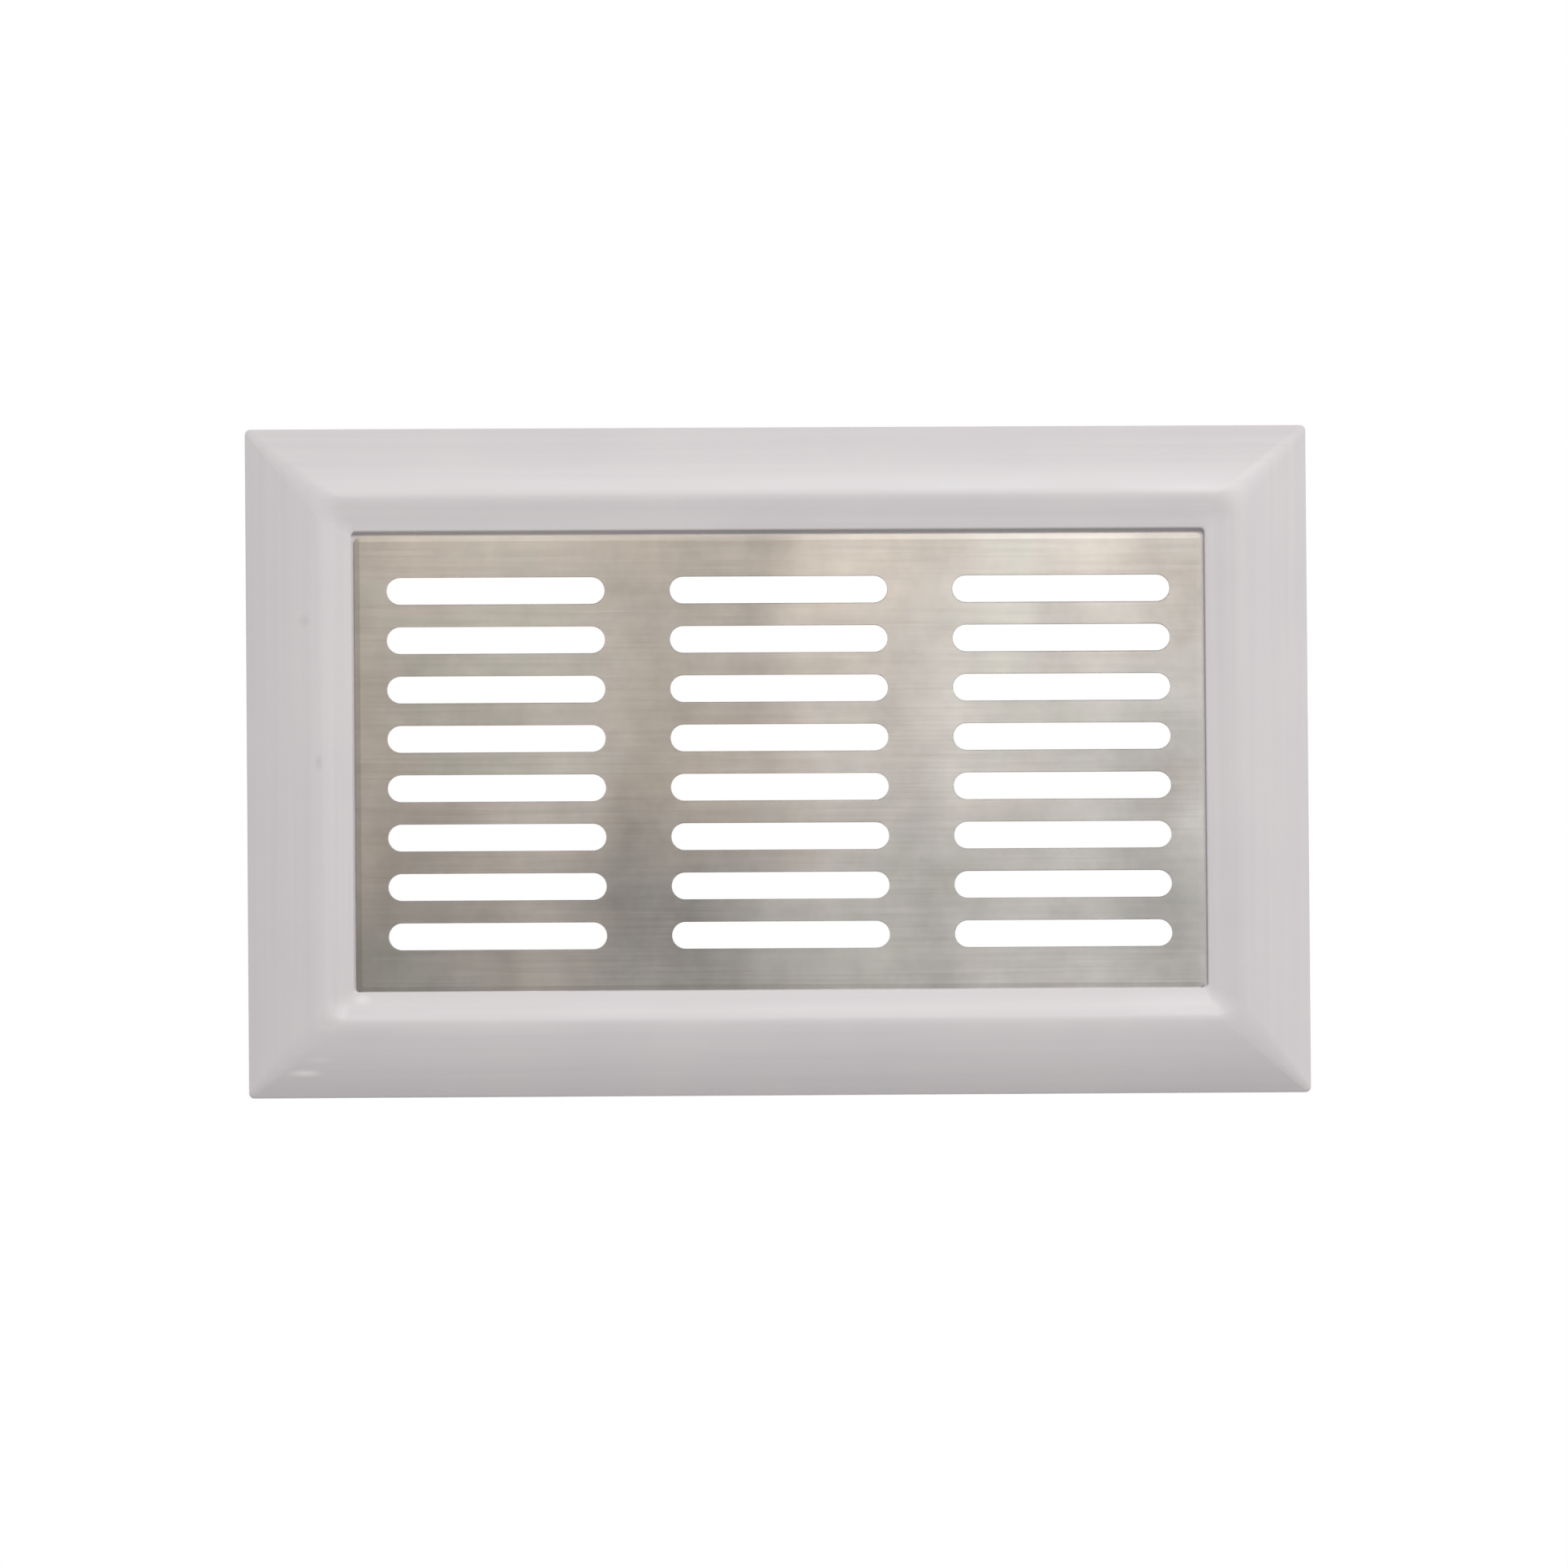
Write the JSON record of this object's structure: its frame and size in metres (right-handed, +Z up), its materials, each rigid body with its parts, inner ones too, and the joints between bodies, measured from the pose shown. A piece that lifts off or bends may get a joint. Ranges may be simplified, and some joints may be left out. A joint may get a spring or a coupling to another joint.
{
  "type": "ventilation grille",
  "caption": "Rectangular wall ventilation grille: a moulded plastic frame with mitred corners round a flat brushed steel plate cut with rows of long round-ended slots.",
  "frame": {"origin": "middle of the back plane, which lies on the wall", "axes": "+X along the long sides to the right as seen from the room, +Z up the wall, the front faces -Y"},
  "size_m": [0.3018, 0.0137, 0.1898],
  "materials": {
    "frame_plastic": "satin moulded",
    "plate_steel": "brushed along the slots"
  },
  "bodies": {
    "root": {"frame": "frame_plastic", "grille_plate": "plate_steel"}
  },
  "joints": []
}
